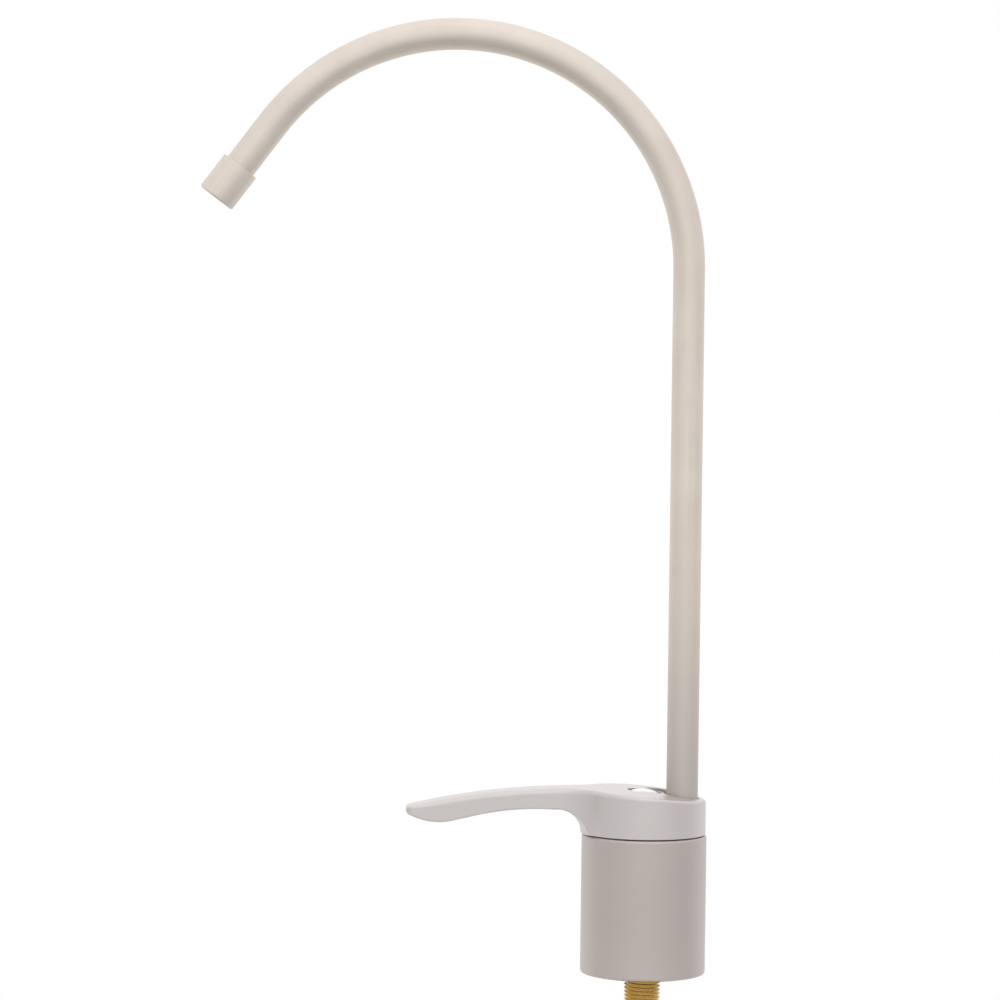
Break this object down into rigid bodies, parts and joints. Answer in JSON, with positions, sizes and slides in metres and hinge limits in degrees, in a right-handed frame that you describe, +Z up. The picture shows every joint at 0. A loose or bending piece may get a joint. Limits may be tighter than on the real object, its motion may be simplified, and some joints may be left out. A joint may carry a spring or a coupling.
{
  "type": "drinking water filter tap",
  "caption": "Deck mounted drinking water tap: round body, lever collar that swings to one side, swivelling gooseneck spout, ceramic disc valve and threaded shank, satin nickel.",
  "frame": {"origin": "centre of the body's foot, on the worktop's top face", "axes": "+Z up along the body's axis, -Y towards the lever tip and the outlet, +X to the side that the picture is taken from"},
  "size_m": [0.045, 0.1845, 0.4025],
  "materials": {
    "body_nickel": "satin nickel plate on turned brass",
    "lever_nickel": "satin nickel plate on a zinc casting",
    "spout_nickel": "satin nickel plate on drawn tube",
    "cap_nickel": "polished nickel plate",
    "raw_brass": "turned brass, unplated",
    "seal_rubber": "black rubber",
    "disc_ceramic": "lapped ceramic",
    "bearing_plastic": "natural low-friction plastic",
    "glide_plastic": "dark low-friction plastic",
    "zinc_steel": "zinc plated steel",
    "black_steel": "blackened steel"
  },
  "bodies": {
    "body": {"tap_body": "body_nickel", "threaded_shank": "raw_brass", "base_gasket": "seal_rubber", "inlet_seal": "seal_rubber", "fixed_disc": "disc_ceramic", "thrust_washer": "bearing_plastic", "glide_ring": "glide_plastic", "spout_bush": "bearing_plastic", "spout_clip": "zinc_steel"},
    "lever": {"lever_handle": "lever_nickel", "lever_grub_screw": "black_steel", "hub_cap": "cap_nickel", "spindle": "raw_brass", "spindle_o_rings": "seal_rubber", "moving_disc": "disc_ceramic"},
    "spout": {"spout_tube": "spout_nickel", "spout_spigot": "raw_brass", "spout_o_rings": "seal_rubber", "outlet_nozzle": "spout_nickel", "nozzle_seal": "seal_rubber", "outlet_screen": "zinc_steel", "flow_straightener": "bearing_plastic"},
    "clamp_washers": {"deck_washer_rubber": "seal_rubber", "deck_washer_steel": "zinc_steel"},
    "clamp_nut": {"lock_nut": "raw_brass"}
  },
  "joints": [
    {"name": "lever_turn", "type": "hinge", "parent": "body", "child": "lever", "pos_m": [0, 0, 0.0505], "axis": [0, 0, 1], "range_deg": [-60, 0]},
    {"name": "spout_swivel", "type": "hinge", "parent": "body", "child": "spout", "pos_m": [0, 0.0135, 0.0502], "axis": [0, 0, 1], "continuous": true},
    {"name": "nut_travel", "type": "slide", "parent": "body", "child": "clamp_washers", "axis": [0, 0, 1], "range_m": [-0.0095, 0.0268]},
    {"name": "nut_turn", "type": "hinge", "parent": "clamp_washers", "child": "clamp_nut", "pos_m": [0, 0, -0.0385], "axis": [0, 0, 1], "range_deg": [-2520, 7200]}
  ],
  "couplings": [
    {"joint": "nut_travel", "follows": "nut_turn", "m_per_rad": 0.00021279}
  ]
}
